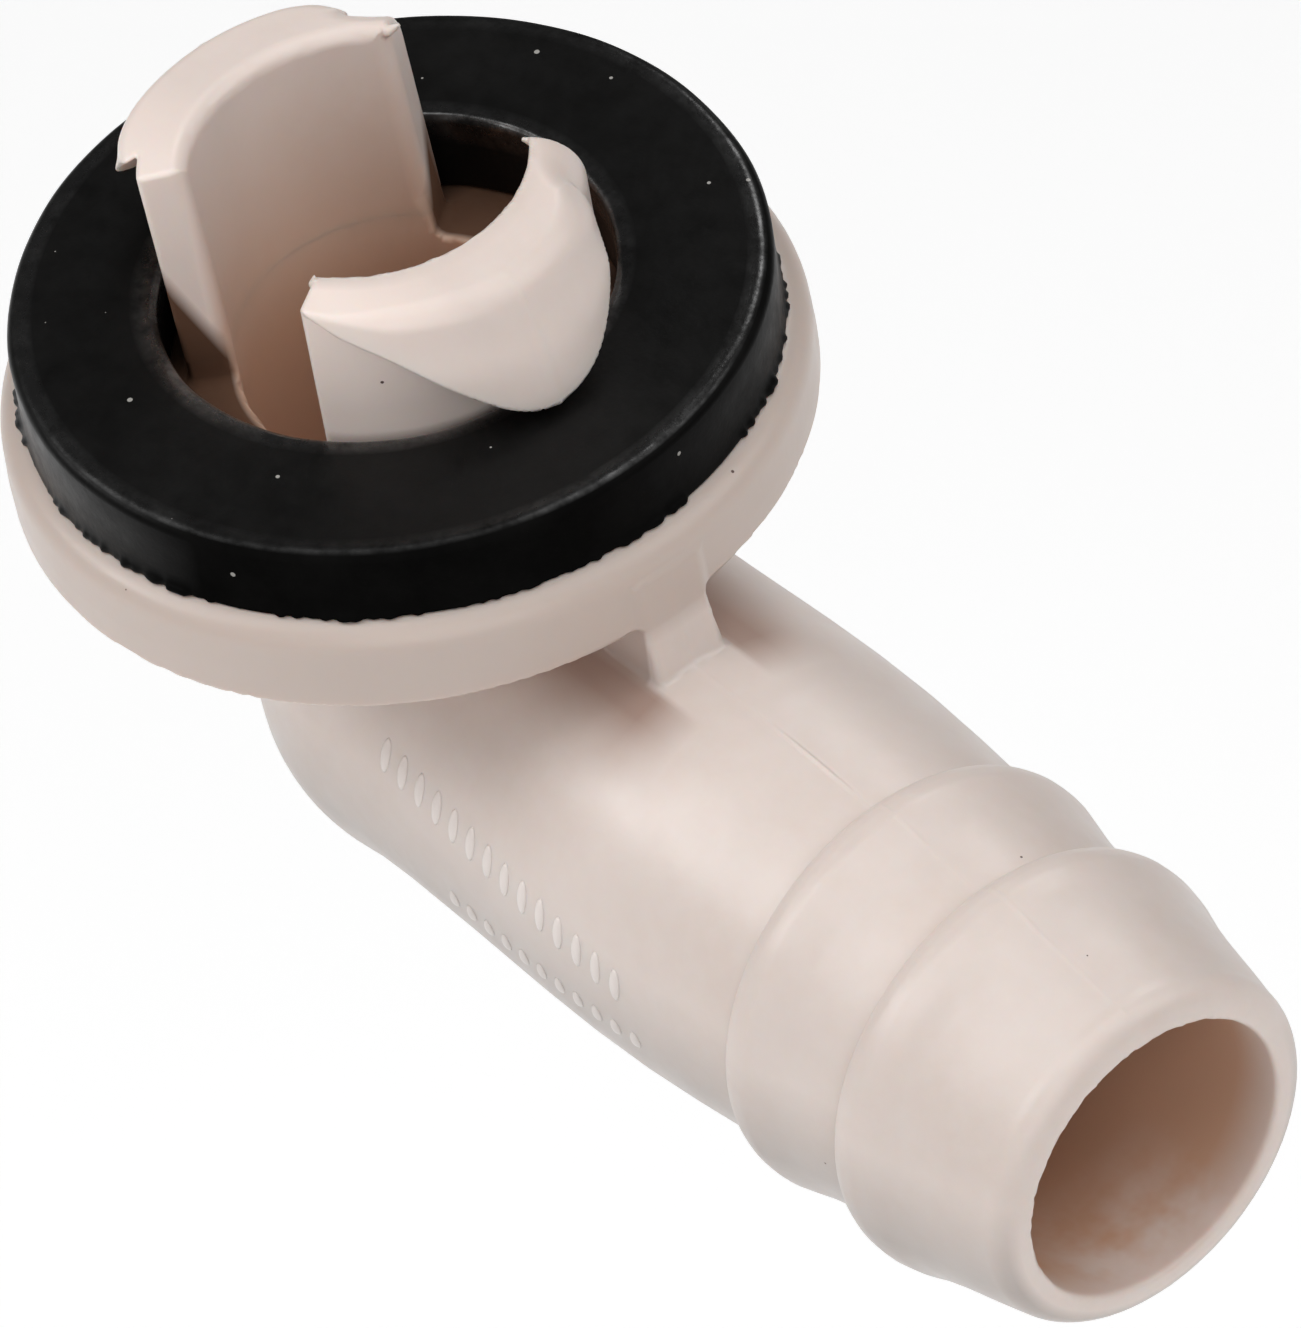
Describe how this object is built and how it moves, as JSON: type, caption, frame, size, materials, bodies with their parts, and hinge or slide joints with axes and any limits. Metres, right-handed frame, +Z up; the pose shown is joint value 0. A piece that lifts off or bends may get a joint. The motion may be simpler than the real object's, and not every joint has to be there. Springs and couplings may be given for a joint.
{
  "type": "condensate drain elbow",
  "caption": "Right-angle drain elbow with a hooked snap-in spigot, a flange with a rubber sealing washer, a stop rib and a ridged tail for a hose.",
  "frame": {"origin": "on the spigot axis, in the top face of the flange", "axes": "+Z up the spigot, towards the hooks; +X along the hose tail, towards its mouth"},
  "size_m": [0.0599, 0.0328, 0.0358],
  "materials": {
    "ivory_plastic": "satin injection moulding",
    "black_rubber": "satin moulded rubber"
  },
  "bodies": {
    "elbow": {"elbow_body": "ivory_plastic"},
    "front_leg": {"front_snap_leg": "ivory_plastic"},
    "rear_leg": {"rear_snap_leg": "ivory_plastic"},
    "washer": {"sealing_washer": "black_rubber"}
  },
  "joints": [
    {"name": "front_leg_flex", "type": "hinge", "parent": "elbow", "child": "front_leg", "pos_m": [0.0037, 0, 0], "axis": [0, -1, 0], "range_deg": [0, 8], "stiffness_Nm_per_rad": 0.5},
    {"name": "rear_leg_flex", "type": "hinge", "parent": "elbow", "child": "rear_leg", "pos_m": [-0.0037, 0, 0], "axis": [0, 1, 0], "range_deg": [0, 8], "stiffness_Nm_per_rad": 0.5},
    {"name": "washer_turn", "type": "hinge", "parent": "elbow", "child": "washer", "pos_m": [0, 0, 0], "axis": [0, 0, 1], "continuous": true}
  ]
}
